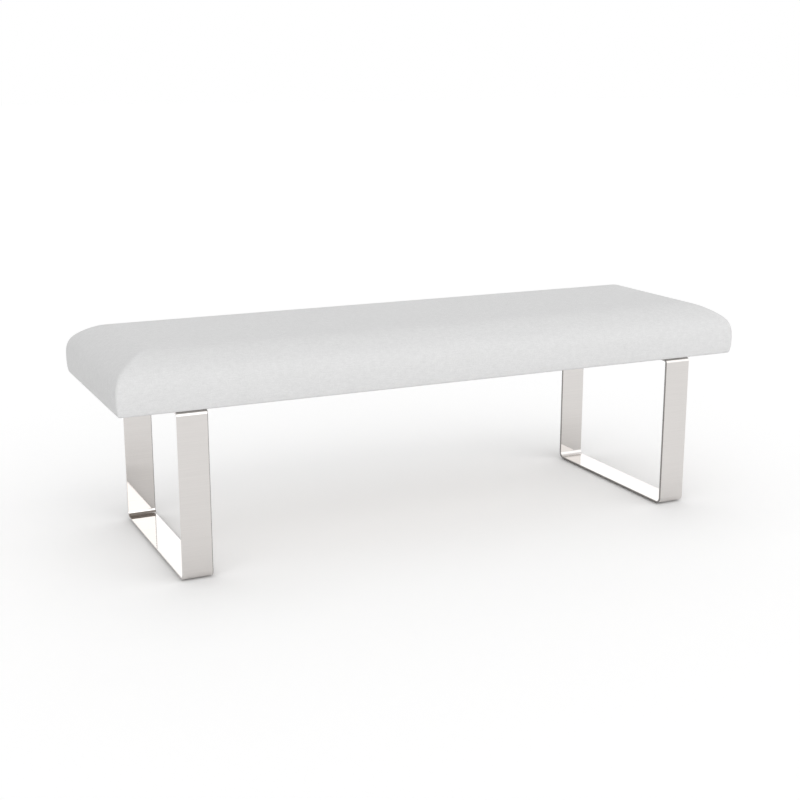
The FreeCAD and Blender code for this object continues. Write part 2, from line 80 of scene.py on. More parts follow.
CELL = 12 * MM
HIP_RADIUS = 3 * MM
HIP_SOFTENING = 4 * MM
HIP_TURNS = (45.0, 22.5)
FLANGE_STEPS = 4
FOAM_INSET = COVER_THICKNESS + BATTING_THICKNESS + 2 * LAYER_GAP
FOAM_CORNER = 2 * MM
FOAM_LOWEST_STEP = 2 * MM
DUST_SAG = 2.5 * MM

# The cover's cloth simulation

SLACK = 2 * MM
SLACK_RISE = 30 * MM
MOVE_MARGIN = 0.3 * MM
FOAM_HOLD = 0.2
FOAM_SPRING = 0.4
CLOTH_PULL = 0.01
CLOTH_MASS = 0.3
CLOTH_QUALITY = 6
CLOTH_PRESSURE = 4
CLOTH_FRAMES = 20
EVEN_ROUNDS = 8

# Finer sizes of the leg loops

# Width of the strip of each wide face, next to the bar's inner edge, that joins the narrow side in getting
# painted shade
PAINTED_SHADE_BAND = 0.8 * MM
BEND_STEPS = 24
EDGE_STEPS = 3

# Finishes: colours from dark to light, and sizes of their patterns

FABRIC_COLOUR = (0.74, 0.74, 0.74)
STEEL_COLOUR = (0.70, 0.675, 0.656)
# Colour of the bars' inner sides: painted shade, darker than the polished faces, standing in for a dark
# reflection there
PAINTED_SHADE_STEEL_COLOUR = (0.28, 0.268, 0.26)
ZINC_COLOURS = ((0.50, 0.51, 0.53), (0.68, 0.69, 0.70))
NYLON_COLOURS = ((0.105, 0.105, 0.105), (0.15, 0.15, 0.148))
WOOD_COLOURS = ((0.36, 0.23, 0.125), (0.50, 0.35, 0.205), (0.60, 0.45, 0.29))
PLY_COLOURS = ((0.55, 0.41, 0.25), (0.70, 0.56, 0.37))
FOAM_COLOURS = ((0.62, 0.55, 0.38), (0.80, 0.74, 0.56))
BATTING_COLOURS = ((0.72, 0.72, 0.71), (0.88, 0.88, 0.87))
DUST_CLOTH_COLOURS = ((0.41, 0.37, 0.335), (0.49, 0.445, 0.41))
THREAD_PITCH = 0.9 * MM
PLY_PAIR = 4 * MM
NOISE_SPAN = (0.3, 0.7)
SLUB_SPAN = (0.25, 0.75)
EVEN_SCALE = (1, 1, 1)
FLAT_SCALE = (1, 1, 0)


# Small helpers


def mix(first, last, share):
    """The value that lies at a share of the way from first to last."""
    return first + (last - first) * share


def smooth_step(share):
    """0 below 0, 1 above 1, and an even S between them."""
    held = min(1.0, max(0.0, share))
    return held * held * (3 - 2 * held)


def new_piece(name, points, faces):
    """A mesh object in the scene, in the shared frame."""
    mesh = bpy.data.meshes.new(name)
    mesh.from_pydata(points, [], faces)
    mesh.validate()
    mesh.polygons.foreach_set("use_smooth", [True] * len(mesh.polygons))
    piece = bpy.data.objects.new(name, mesh)
    scene.collection.objects.link(piece)
    return piece


def apply_modifiers(piece):
    """Leaves the piece with the mesh that its modifiers make, and no modifiers."""
    graph = bpy.context.evaluated_depsgraph_get()
    made = bpy.data.meshes.new_from_object(piece.evaluated_get(graph))
    piece.modifiers.clear()
    piece.data = made


def settle(piece, slot, *nodes):
    """The piece rides on the frame and stands for these nodes. The slot is not used."""
    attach(piece, "root")
    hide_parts(*nodes)


# Material helpers


def add(tree, kind, inputs=None, **settings):
    """A node with its settings, and with its inputs linked or set."""
    made = tree.nodes.new("ShaderNode" + kind)
    for name, value in settings.items():
        setattr(made, name, value)
    for name, value in (inputs or {}).items():
        if isinstance(value, bpy.types.NodeSocket):
            tree.links.new(value, made.inputs[name])
        else:
            made.inputs[name].default_value = value
    return made


def new_material(name, **constants):
    """A material, its node tree and its surface node, which holds the values that are the same all over."""
    material = bpy.data.materials.new(name)
    material.use_nodes = True
    tree = material.node_tree
    surface = tree.nodes["Principled BSDF"]
    for socket, value in constants.items():
        surface.inputs[socket.replace("_", " ").title().replace("Ior", "IOR")].default_value = value
    return material, tree, surface


def stretched_place(tree, scale):
    """The place on the object in metres, drawn out by a scale for each axis."""
    place = add(tree, "TexCoord").outputs["Object"]
    return add(tree, "Mapping", {"Vector": place, "Scale": scale}).outputs["Vector"]


def noise(tree, place, scale, detail=2.0, roughness=0.5):
    """A soft random field from 0 to 1."""
    inputs = {"Vector": place, "Scale": scale, "Detail": detail, "Roughness": roughness}
    return add(tree, "TexNoise", inputs).outputs["Fac"]


def ranged(tree, value, low, high, first=0.0, last=1.0):
    """A field carried from first..last to low..high."""
    inputs = {"Value": value, "From Min": first, "From Max": last, "To Min": low, "To Max": high}
    return add(tree, "MapRange", inputs).outputs["Result"]


def sums(tree, operation, *values):
    """A math node on one or two values."""
    return add(tree, "Math", dict(enumerate(values)), operation=operation).outputs[0]


def shades(tree, share, places, colours):
    """A colour ramp over share, with one colour at each place."""
    ramp = add(tree, "ValToRGB", {"Fac": share})
    marks = ramp.color_ramp.elements
    while len(marks) < len(places):
        marks.new(0.5)
    for mark, place, colour in zip(marks, places, colours):
        mark.position = place
        mark.color = (*colour, 1.0)
    return ramp.outputs["Color"]


def scaled_colour(tree, colour, share):
    """A colour with its brightness scaled by a field."""
    return add(tree, "VectorMath", {0: colour, "Scale": share}, operation="SCALE").outputs[0]


def finish(tree, surface, colour, roughness=None):
    """Links the colour, and the roughness where it varies, to the surface."""
    tree.links.new(colour, surface.inputs["Base Color"])
    if roughness is not None:
        tree.links.new(roughness, surface.inputs["Roughness"])


def relief(tree, surface, height, depth, strength):
    """Bump from a height field, with its depth in metres."""
    bump = add(tree, "Bump", {"Height": height, "Distance": depth, "Strength": strength})
    tree.links.new(bump.outputs["Normal"], surface.inputs["Normal"])


# Materials


def seat_fabric():
    """A fine plain weave in pale grey-white yarn with slight slubs."""
    material, tree, surface = new_material(
        "pale_weave", roughness=0.88, specular_ior_level=0.25, sheen_weight=0.12, sheen_roughness=0.45)
    place = add(tree, "UVMap", uv_map="weave").outputs["UV"]
    cloth = add(tree, "SeparateXYZ", {0: place})
    waves = []
    for way in ("X", "Y"):
        turned = sums(tree, "MULTIPLY", cloth.outputs[way], math.pi / THREAD_PITCH)
        waves.append(sums(tree, "SINE", turned))
    warp = sums(tree, "ABSOLUTE", waves[0])
    weft = sums(tree, "ABSOLUTE", waves[1])
    over = sums(tree, "GREATER_THAN", sums(tree, "MULTIPLY", *waves), 0.0)
    yarn = add(tree, "Mix", {0: over, 2: weft, 3: warp}).outputs[0]
    slub_place = add(tree, "Mapping", {"Vector": place, "Scale": (60, 420, 1)}).outputs[0]
    slubs = noise(tree, slub_place, 1.0)
    flecks = noise(tree, place, 420.0, roughness=0.6)
    mottle = noise(tree, place, 95.0, detail=3.0, roughness=0.6)
    clouds = noise(tree, place, 20.0)
    bright = ranged(tree, yarn, 0.93, 1.02)
    for field, reach in ((slubs, 0.03), (flecks, 0.05), (mottle, 0.034), (clouds, 0.008)):
        bright = sums(tree, "MULTIPLY", bright, ranged(tree, field, 1 - reach, 1 + reach, *SLUB_SPAN))
    finish(tree, surface, scaled_colour(tree, FABRIC_COLOUR, bright))
    slub_height = sums(tree, "MULTIPLY", slubs, 0.6)
    relief(tree, surface, sums(tree, "ADD", yarn, slub_height), depth=0.22 * MM, strength=0.6)
    return material


def polished_steel():
    """Bright polished flat bar with a trace of fine lines across it."""
    material, tree, surface = new_material("polished_bar", metallic=1.0)
    lines = noise(tree, stretched_place(tree, (9, 900, 900)), 1.0, detail=3.0)
    haze = noise(tree, stretched_place(tree, (14, 14, 14)), 1.0, detail=3.0)
    line_bright = ranged(tree, lines, 0.975, 1.02, *NOISE_SPAN)
    bright = sums(tree, "MULTIPLY", line_bright, ranged(tree, haze, 0.985, 1.01))
    line_rough = ranged(tree, lines, 0.03, 0.06, *NOISE_SPAN)
    rough = sums(tree, "ADD", line_rough, ranged(tree, haze, 0.0, 0.02))
    finish(tree, surface, scaled_colour(tree, STEEL_COLOUR, bright), rough)
    relief(tree, surface, lines, depth=0.004 * MM, strength=0.25)
    return material


def shaded_side_steel():
    """The narrow inner sides of the flat bar: a rougher satin, with painted shade that makes them darker.
    """
    material, tree, surface = new_material("bar_side_painted_shade", metallic=1.0)
    lines = noise(tree, stretched_place(tree, (900, 40, 40)), 1.0, detail=3.0)
    bright = ranged(tree, lines, 0.85, 1.1, *NOISE_SPAN)
    rough = ranged(tree, lines, 0.22, 0.34, *NOISE_SPAN)
    finish(tree, surface, scaled_colour(tree, PAINTED_SHADE_STEEL_COLOUR, bright), rough)
    relief(tree, surface, lines, depth=0.02 * MM, strength=0.4)
    return material


def zinc_steel():
    """Bright zinc on small fasteners, with the faint cloudiness of plating."""
    material, tree, surface = new_material("zinc_plate", metallic=1.0)
    clouds = noise(tree, stretched_place(tree, EVEN_SCALE), 300.0, detail=4.0)
    rough = ranged(tree, clouds, 0.24, 0.42, *NOISE_SPAN)
    finish(tree, surface, shades(tree, clouds, NOISE_SPAN, ZINC_COLOURS), rough)
    relief(tree, surface, clouds, depth=0.03 * MM, strength=0.4)
    return material


def glide_nylon():
    """Moulded grey nylon with a fine spark-eroded texture."""
    material, tree, surface = new_material("moulded_nylon", specular_ior_level=0.45)
    grain = noise(tree, stretched_place(tree, EVEN_SCALE), 1800.0, detail=3.0)
    rough = ranged(tree, grain, 0.42, 0.6, *NOISE_SPAN)
    finish(tree, surface, shades(tree, grain, NOISE_SPAN, NYLON_COLOURS), rough)
    relief(tree, surface, grain, depth=0.06 * MM, strength=0.5)
    return material


def hardwood(name, grain_scale):
    """Planed pale hardwood, its grain drawn out along the board and its pores nine times finer."""
    material, tree, surface = new_material(name, specular_ior_level=0.3)
    bands = noise(tree, stretched_place(tree, grain_scale), 1.0, detail=5.0, roughness=0.62)
    pores = noise(tree, stretched_place(tree, [9 * size for size in grain_scale]), 1.0)
    tone = shades(tree, bands, (0.3, 0.5, 0.72), WOOD_COLOURS)
    bright = ranged(tree, pores, 0.86, 1.05, 0.3, 0.6)
    finish(tree, surface, scaled_colour(tree, tone, bright), ranged(tree, bands, 0.5, 0.68))
    relief(tree, surface, pores, depth=0.12 * MM, strength=0.5)
    return material


def plywood():
    """Birch ply: face grain along the bench and the plies' bands on its edges."""
    material, tree, surface = new_material("birch_ply", specular_ior_level=0.3)
    grain = noise(tree, stretched_place(tree, (5, 90, 20)), 1.0, detail=5.0, roughness=0.6)
    height = add(tree, "SeparateXYZ", {0: add(tree, "TexCoord").outputs["Object"]}).outputs["Z"]
    plies = sums(tree, "SINE", sums(tree, "MULTIPLY", height, 2 * math.pi / PLY_PAIR))
    bright = ranged(tree, plies, 0.82, 1.03, -1.0, 1.0)
    tone = scaled_colour(tree, shades(tree, grain, NOISE_SPAN, PLY_COLOURS), bright)
    finish(tree, surface, tone, ranged(tree, grain, 0.52, 0.7))
    relief(tree, surface, grain, depth=0.1 * MM, strength=0.4)
    return material


def foam():
    """Cream open-cell foam with fine pores."""
    material, tree, surface = new_material("open_cell_foam", roughness=0.95, specular_ior_level=0.1)
    place = stretched_place(tree, EVEN_SCALE)
    cells = add(tree, "TexVoronoi", {"Vector": place, "Scale": 650.0}).outputs["Distance"]
    finish(tree, surface, shades(tree, cells, (0.1, 0.6), FOAM_COLOURS))
    relief(tree, surface, cells, depth=0.5 * MM, strength=0.8)
    return material


def batting():
    """White polyester batting with matted fibres."""
    material, tree, surface = new_material(
        "fibre_batting", roughness=1.0, specular_ior_level=0.1, sheen_weight=0.3)
    fibres = noise(tree, stretched_place(tree, EVEN_SCALE), 260.0, detail=6.0, roughness=0.7)
    finish(tree, surface, shades(tree, fibres, NOISE_SPAN, BATTING_COLOURS))
    relief(tree, surface, fibres, depth=1.0 * MM, strength=0.8)
    return material


def dust_cloth():
    """Taupe spun-bonded cloth with its small pressed dots, laid out flat."""
    material, tree, surface = new_material(
        "spun_bond", roughness=0.85, specular_ior_level=0.25, sheen_weight=0.08)
    place = stretched_place(tree, FLAT_SCALE)
    dot_field = {"Vector": place, "Scale": 520.0, "Randomness": 0.25}
    dots = add(tree, "TexVoronoi", dot_field).outputs["Distance"]
    fibres = noise(tree, place, 900.0, detail=4.0, roughness=0.65)
    tone = shades(tree, fibres, NOISE_SPAN, DUST_CLOTH_COLOURS)
    finish(tree, surface, scaled_colour(tree, tone, ranged(tree, dots, 0.7, 1.1, 0.1, 0.5)))
    fibre_height = sums(tree, "MULTIPLY", fibres, 0.4)
    relief(tree, surface, sums(tree, "ADD", dots, fibre_height), depth=0.25 * MM, strength=0.7)
    return material


# Section of one upholstered edge


def polar(centre, radius, angle):
    """A point of an arc, as its distance in from the seat's outside and its height."""
    return centre[0] - radius * math.cos(angle), centre[1] + radius * math.sin(angle)


def edge_arcs(inset, tucked):
    """Arcs of one upholstered edge from the underside up: centre, radius, first and last angle."""
    ends = [math.radians(angle) for angle in EDGE_ANGLES]
    steps = list(zip(EDGE_RADII, [0.0] + ends[:-1], ends))
    rise = sum(radius * (math.sin(last) - math.sin(first)) for radius, first, last in steps)
    draw = sum(radius * (math.cos(first) - math.cos(last)) for radius, first, last in steps)
    crown_rise = (SEAT_DEPTH / 2 - draw) * math.tan((math.pi / 2 - ends[-1]) / 2)
    widest = SEAT_TOP - crown_rise - rise
    drop = widest - COVER_BOTTOM
    corner = LOWER_EDGE_RADIUS
    arcs = []
    if tucked:
        begin = -math.asin((drop - corner) / (EDGE_RADII[0] - corner))
        lower_centre = polar((EDGE_RADII[0], widest), EDGE_RADII[0] - corner, begin)
        arcs.append((lower_centre, corner - inset, -math.pi / 2, begin))
    else:
        begin = -math.asin((drop - COVER_THICKNESS) / (EDGE_RADII[0] - inset))
    joint = (0.0, widest)
    for radius, first, last in steps:
        centre = polar(joint, -radius, first)
        arcs.append((centre, radius - inset, begin, last))
        joint = polar(centre, radius, last)
        begin = last
    return arcs


def edge_line(inset, tucked, cell, fewest=3):
    """Points of the edge's section from its lower end up to the crown."""
    line = []
    for centre, radius, first, last in edge_arcs(inset, tucked):
        count = max(fewest, math.ceil(radius * (last - first) / cell))
        angles = [mix(first, last, step / count) for step in range(count + 1)]
        line += [polar(centre, radius, angle) for angle in angles[(1 if line else 0):]]
    return line


# Rings and crown of a cushion with mitred corners


def side_run(half, corner, cells):
    """Places along one side of a ring, from hip to hip, and how far each lies in from that side."""
    turns = [math.radians(turn) for turn in HIP_TURNS]
    start = [(-half + corner * (1 - math.sin(turn)), corner * (1 - math.cos(turn))) for turn in turns]
    reach = half - corner
    middle = [(mix(-reach, reach, step / cells), 0.0) for step in range(cells + 1)]
    end = [(-place, offset) for place, offset in reversed(start)]
    return start + middle + end


class CushionSkin:
    """Points and faces of a cushion's outside: rings up the four edges, then a grid over the crown."""

    def __init__(self, line, corner, cell=CELL):
        self.corner = corner
        self.lowest = line[0][1]
        self.along = round(SEAT_LENGTH / cell)
        self.across = round(SEAT_DEPTH / cell)
        self.columns = self.along + 2 * len(HIP_TURNS)
        self.rows = self.across + 2 * len(HIP_TURNS)
        self.count = 2 * (self.columns + self.rows)
        self.line = line
        self.points = []
        self.faces = []
        self.weave = []
        for inward, height in line:
            self.points += self.ring(inward, height)
        self.join_rings()
        self.add_crown()

    def ring(self, inward, height):
        """One closed ring of points, anticlockwise from the front left hip."""
        half_length = SEAT_LENGTH / 2 - inward
        half_depth = SEAT_DEPTH / 2 - inward
        risen = (height - self.lowest) / (SEAT_TOP - self.lowest)
        corner = self.corner + HIP_SOFTENING * smooth_step(risen)
        long_run = side_run(half_length, corner, self.along)[:-1]
        short_run = side_run(half_depth, corner, self.across)[:-1]
        points = [(place, offset - half_depth, height) for place, offset in long_run]
        points += [(half_length - offset, place, height) for place, offset in short_run]
        points += [(-place, half_depth - offset, height) for place, offset in long_run]
        points += [(offset - half_length, -place, height) for place, offset in short_run]
        return points

    def spread(self, point, panel, level):
        """The place of a point in the flat cloth: level is how far down from the crown's edge it lies."""
        x, y = point[0], point[1]
        crown_inward = self.line[-1][0]
        if panel in ("front", "back"):
            reach = SEAT_DEPTH / 2 - crown_inward + level
            return x, reach if panel == "back" else -reach
        reach = SEAT_LENGTH / 2 - crown_inward + level
        return (reach if panel == "right" else -reach), y

    def panel_of(self, place):
        """The side of the cushion that a place on a ring belongs to."""
        for panel, cells in (("front", self.columns), ("right", self.rows), ("back", self.columns)):
            if place < cells:
                return panel
            place -= cells
        return "left"

    def join_rings(self):
        """Faces between each ring and the next one up."""
        levels = [0.0]
        for (inward, height), (next_inward, next_height) in zip(self.line[:0:-1], self.line[-2::-1]):
            levels.append(levels[-1] + math.hypot(inward - next_inward, height - next_height))
        levels.reverse()
        for level in range(len(self.line) - 1):
            for place in range(self.count):
                after = (place + 1) % self.count
                corners = [(level, place), (level, after), (level + 1, after), (level + 1, place)]
                face = [row * self.count + spot for row, spot in corners]
                panel = self.panel_of(place)
                self.faces.append(face)
                self.weave += [self.spread(self.points[spot], panel, levels[row])
                               for spot, (row, _) in zip(face, corners)]

    def crown_lift(self, x, y):
        """How far the crown stands above its edge."""
        inward = self.line[-1][0]
        slope = math.radians(90 - EDGE_ANGLES[-1])
        lifts = []
        for half, place in ((SEAT_LENGTH / 2 - inward, x), (SEAT_DEPTH / 2 - inward, y)):
            lifts.append(max(1e-9, half * math.tan(slope / 2) * (1 - (place / half) ** 2)))
        return (lifts[0] ** -3 + lifts[1] ** -3) ** (-1 / 3)

    def add_crown(self):
        """A grid inside the last ring, lifted to the crown."""
        first = (len(self.line) - 1) * self.count
        edge = self.points[first:]
        height = self.line[-1][1]
        columns, rows = self.columns, self.rows
        spot = {}
        for column in range(columns + 1):
            spot[column, 0] = first + column
            spot[column, rows] = first + (2 * columns + rows - column) % self.count
        for row in range(rows + 1):
            spot[columns, row] = first + columns + row
            spot[0, row] = first + (self.count - row) % self.count
        half_length = edge[columns][0]
        half_depth = edge[columns + rows][1]
        for column in range(1, columns):
            for row in range(1, rows):
                front = edge[column]
                right = edge[columns + row]
                share_x = (front[0] + half_length) / (2 * half_length)
                share_y = (right[1] + half_depth) / (2 * half_depth)
                bulge_x = (right[0] - half_length) * (2 * share_x - 1)
                bulge_y = (-front[1] - half_depth) * (2 * share_y - 1)
                x = front[0] + bulge_x
                y = right[1] + bulge_y
                spot[column, row] = len(self.points)
                self.points.append((x, y, height + self.crown_lift(x, y)))
        for column in range(columns):
            for row in range(rows):
                face = [spot[column, row], spot[column + 1, row],
                        spot[column + 1, row + 1], spot[column, row + 1]]
                self.faces.append(face)
                self.weave += [self.points[corner][:2] for corner in face]


# Seat cover


def lower_share(height):
    """0 at the tucked edge, where the cover is held, and 1 where it is free."""
    return smooth_step((height - COVER_BOTTOM - LOWER_EDGE_RADIUS) / SLACK_RISE)


def evened(values, edges, rounds):
    """Values at points, each drawn towards its neighbours' mean."""
    for _ in range(rounds):
        total = list(values)
        count = [1] * len(values)
        for first, last in edges:
            total[first] += values[last]
            total[last] += values[first]
            count[first] += 1
            count[last] += 1
        values = [whole / parts for whole, parts in zip(total, count)]
    return values


def swell(piece, free):
    """Blows the slack cover up as cloth on springy foam, and caps how far each point moves out."""
    start = [vertex.co.copy() for vertex in piece.data.vertices]
    outward = [vertex.normal.copy() for vertex in piece.data.vertices]
    pins = piece.vertex_groups.new(name="held")
    for spot, share in enumerate(free):
        pins.add([spot], max(FOAM_HOLD, 1 - share), "REPLACE")
    modifier = piece.modifiers.new("swell", "CLOTH")
    cloth = modifier.settings
    cloth.quality = CLOTH_QUALITY
    cloth.mass = CLOTH_MASS
    cloth.tension_stiffness = CLOTH_PULL
    cloth.compression_stiffness = CLOTH_PULL
    cloth.shear_stiffness = CLOTH_PULL / 2
    cloth.bending_stiffness = CLOTH_PULL / 10
    cloth.use_pressure = True
    cloth.uniform_pressure_force = CLOTH_PRESSURE
    cloth.vertex_group_mass = pins.name
    cloth.pin_stiffness = FOAM_SPRING
    cloth.effector_weights.gravity = 0
    modifier.collision_settings.use_collision = False
    for moment in range(1, CLOTH_FRAMES + 1):
        scene.frame_set(moment)
    graph = bpy.context.evaluated_depsgraph_get()
    moved = [vertex.co.copy() for vertex in piece.evaluated_get(graph).data.vertices]
    piece.modifiers.clear()
    piece.vertex_groups.clear()
    scene.frame_set(1)
    push = [(after - before).dot(normal) for after, before, normal in zip(moved, start, outward)]
    push = evened(push, [edge.vertices[:] for edge in piece.data.edges], EVEN_ROUNDS)
    for vertex, before, normal, share, step in zip(piece.data.vertices, start, outward, free, push):
        vertex.co = before + normal * min(max(step, 0.0), (SLACK + MOVE_MARGIN) * share)


def seat_cover():
    """The fabric cover, turned under the seat, slack at first and then swelled."""
    under = edge_line(0.0, True, CELL)
    tuck_end = (SEAT_LENGTH - FRAME_LENGTH) / 2 + TUCK_WIDTH
    flange = []
    for step in range(FLANGE_STEPS):
        flange.append((mix(tuck_end, under[0][0], step / FLANGE_STEPS), COVER_BOTTOM))
    skin = CushionSkin(flange + under, HIP_RADIUS)
    piece = new_piece("seat_cover_cloth", skin.points, skin.faces)
    spread = piece.data.uv_layers.new(name="weave")
    spread.data.foreach_set("uv", [part for place in skin.weave for part in place])
    free = [lower_share(point[2]) for point in skin.points]
    normals = [vertex.normal.copy() for vertex in piece.data.vertices]
    for vertex, normal, share in zip(piece.data.vertices, normals, free):
        vertex.co -= normal * SLACK * share
    piece.data.update()
    swell(piece, free)
    shell = piece.modifiers.new("shell", "SOLIDIFY")
    shell.thickness = COVER_THICKNESS
    shell.offset = -1
    fine = piece.modifiers.new("fine", "SUBSURF")
    fine.levels = 1
    fine.render_levels = 1
    apply_modifiers(piece)
    piece.data.materials.append(seat_fabric())
    settle(piece, "seat_fabric", "seat_cover")


# Batting and foam under the cover


def batting_layer():
    """The batting, wrapped over the foam down to the frame's underside."""
    inset = COVER_THICKNESS + LAYER_GAP
    skin = CushionSkin(edge_line(inset, False, 2 * CELL), HIP_RADIUS - inset, 2 * CELL)
    piece = new_piece("batting_layer", skin.points, skin.faces)
    shell = piece.modifiers.new("shell", "SOLIDIFY")
    shell.thickness = BATTING_THICKNESS - LAYER_GAP
    shell.offset = -1
    apply_modifiers(piece)
    piece.data.materials.append(batting())
    settle(piece, "batting", "batting_wrap")


def foam_slab(material):
    """The foam slab on the deck, with its crowned top and drawn-in edges."""
    floor_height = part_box("seat_foam")[0].z
    lowest = floor_height + FOAM_LOWEST_STEP
    line = [place for place in edge_line(FOAM_INSET, False, CELL, fewest=6) if place[1] > lowest]
    line = [(line[0][0], floor_height)] + line
    skin = CushionSkin(line, FOAM_CORNER, 2 * CELL)
    piece = new_piece("foam_slab", skin.points, skin.faces + [list(range(skin.count))[::-1]])
    piece.data.materials.append(material)
    settle(piece, "foam", "seat_foam")


def foam_strip(node, material):
    """One strip of edge foam, its outside following the seat's side."""
    low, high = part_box(node)
    runs_along = high.x - low.x > high.y - low.y
    outward = 1 if (low + high)[1 if runs_along else 0] > 0 else -1
    section = edge_line(FOAM_INSET, False, CELL / 2, fewest=4)
    line = [place for place in section if low.z < place[1] < high.z]
    line = [(line[0][0], low.z)] + line + [(line[-1][0], high.z)]
    half_across = (SEAT_DEPTH if runs_along else SEAT_LENGTH) / 2
    inner = (FRAME_DEPTH if runs_along else FRAME_LENGTH) / 2 + LAYER_GAP
    half_along = FRAME_DEPTH / 2
    cells = round((SEAT_LENGTH if runs_along else SEAT_DEPTH) / (2 * CELL))
    points = []
    for step in range(cells + 1):
        for face_side in (0, 1):
            for inward, height in (line, line[::-1])[face_side]:
                reach = SEAT_LENGTH / 2 - inward if runs_along else half_along
                along = mix(-reach, reach, step / cells)
                across = outward * (inner if face_side else half_across - inward)
                points.append((along, across, height) if runs_along else (across, along, height))
    around = 2 * len(line)
    faces = []
    for step in range(cells):
        for spot in range(around):
            after = (spot + 1) % around
            start = step * around
            faces.append([start + spot, start + after, start + around + after, start + around + spot])
    faces.append(list(range(around))[::-1])
    faces.append([cells * around + spot for spot in range(around)])
    if runs_along == (outward > 0):
        faces = [face[::-1] for face in faces]
    piece = new_piece(node.replace("edge_foam", "foam_strip"), points, faces)
    piece.data.materials.append(material)
    settle(piece, "foam", node)


# Dust cover


def bay_share(place, supports):
    """How freely the cloth hangs at a place: 0 over a support, 1 midway in the widest bay."""
    widest = max(after[0] - before[1] for before, after in zip(supports, supports[1:]))
    for before, after in zip(supports, supports[1:]):
        if before[1] < place < after[0]:
            width = after[0] - before[1]
            middle = (before[1] + after[0]) / 2
            return (1 - ((place - middle) / (width / 2)) ** 2) * (width / widest) ** 2
    return 0.0


def dust_sheet():
    """The dust cover under the seat, stapled round its edge and hanging a little between the rails."""
    length = dust_high.x - dust_low.x
    depth = dust_high.y - dust_low.y
    half_rail = RAIL_THICKNESS / 2
    end_inside = FRAME_LENGTH / 2 - RAIL_THICKNESS
    right = [(CROSS_RAIL_SPACING - half_rail, CROSS_RAIL_SPACING + half_rail),
             (cleat_low.x, cleat_high.x),
             (end_inside, FRAME_LENGTH / 2)]
    left = [(-last, -first) for first, last in reversed(right)]
    along = left + [(-half_rail, half_rail)] + right
    rail_inside = FRAME_DEPTH / 2 - RAIL_THICKNESS
    across = [(-FRAME_DEPTH / 2, -rail_inside), (rail_inside, FRAME_DEPTH / 2)]
    columns = round(length / CELL)
    rows = round(depth / CELL)
    points = []
    for row in range(rows + 1):
        y = mix(dust_low.y, dust_high.y, row / rows)
        for column in range(columns + 1):
            x = mix(dust_low.x, dust_high.x, column / columns)
            sag = DUST_SAG * bay_share(x, along) * bay_share(y, across)
            points.append((x, y, dust_high.z - sag))
    faces = []
    for row in range(rows):
        for column in range(columns):
            start = row * (columns + 1) + column
            faces.append([start, start + columns + 1, start + columns + 2, start + 1])
    piece = new_piece("dust_cloth_sheet", points, faces)
    shell = piece.modifiers.new("shell", "SOLIDIFY")
    shell.thickness = dust_high.z - dust_low.z
    shell.offset = 1
    apply_modifiers(piece)
    piece.data.materials.append(dust_cloth())
    settle(piece, "dust_cloth", "dust_cover")


# Leg loops


def bar_section(width):
    """Round the bar's section: place across, depth from the outside, and the surface's direction."""
    radius = BAR_EDGE_RADIUS
    band = width / 2 - radius - PAINTED_SHADE_BAND
    section = []
    for quarter, (side, deep) in enumerate(((1, 0), (1, 1), (-1, 1), (-1, 0))):
        centre_across = side * (width / 2 - radius)
        centre_deep = radius if deep == 0 else BAR_THICKNESS - radius
        turned = []
        for step in range(EDGE_STEPS + 1):
            angle = math.pi / 2 * (quarter + step / EDGE_STEPS)
            across, out = math.sin(angle), math.cos(angle)
            turned.append((centre_across + radius * across, centre_deep - radius * out, across, out))
        flat = (side * band, BAR_THICKNESS * deep, 0.0, 1.0 - 2.0 * deep)
        section += [flat] + turned if quarter % 2 == 0 else turned + [flat]
    return section


def loop_stations(half_depth, low, high):
    """Stations round the loop: the outside point and the outward direction, in depth and height."""
    stations = []
    middle = (low + high) / 2
    corners = ((1, 1, 0.0), (-1, 1, 90.0), (-1, -1, 180.0), (1, -1, 270.0))
    for side, up, first in corners:
        bend = UPPER_BEND_RADIUS if up > 0 else LOWER_BEND_RADIUS
        centre = (side * (half_depth - bend), middle + up * ((high - low) / 2 - bend))
        for step in range(BEND_STEPS + 1):
            angle = math.radians(first + 90.0 * step / BEND_STEPS)
            out = (math.cos(angle), math.sin(angle))
            stations.append(((centre[0] + bend * out[0], centre[1] + bend * out[1]), out))
    return stations


def leg_loop(node, name, face_material, shaded_side_material):
    """One flat bar bent to a closed loop, with its edges rounded and its inner side a rougher satin with
    painted shade.
    """
    low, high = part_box(node)
    middle_x = (low.x + high.x) / 2
    inward = -1 if middle_x > 0 else 1
    band = (high.x - low.x) / 2 - BAR_EDGE_RADIUS - 1.5 * PAINTED_SHADE_BAND
    section = bar_section(high.x - low.x)
    stations = loop_stations((high.y - low.y) / 2, low.z, high.z)
    points = []
    normals = []
    for (y, z), out in stations:
        for across, deep, lean, face_out in section:
            points.append((middle_x + across, y - out[0] * deep, z - out[1] * deep))
            normals.append((lean, out[0] * face_out, out[1] * face_out))
    around = len(section)
    faces = []
    in_painted_shade_band = []
    for station in range(len(stations)):
        start = station * around
        after_start = (station + 1) % len(stations) * around
        for spot in range(around):
            after = (spot + 1) % around
            faces.append([start + spot, after_start + spot, after_start + after, start + after])
            # Faces of the inner side and the strips beside it take the darker material: painted shade
            in_painted_shade_band.append(min(section[spot][0] * inward, section[after][0] * inward) > band)
    piece = new_piece(name, points, faces)
    piece.data.normals_split_custom_set_from_vertices(normals)
    piece.data.materials.append(face_material)
    piece.data.materials.append(shaded_side_material)
    piece.data.polygons.foreach_set("material_index", [int(side) for side in in_painted_shade_band])
    settle(piece, "polished_steel", node)


# Finishes of the solids that stay


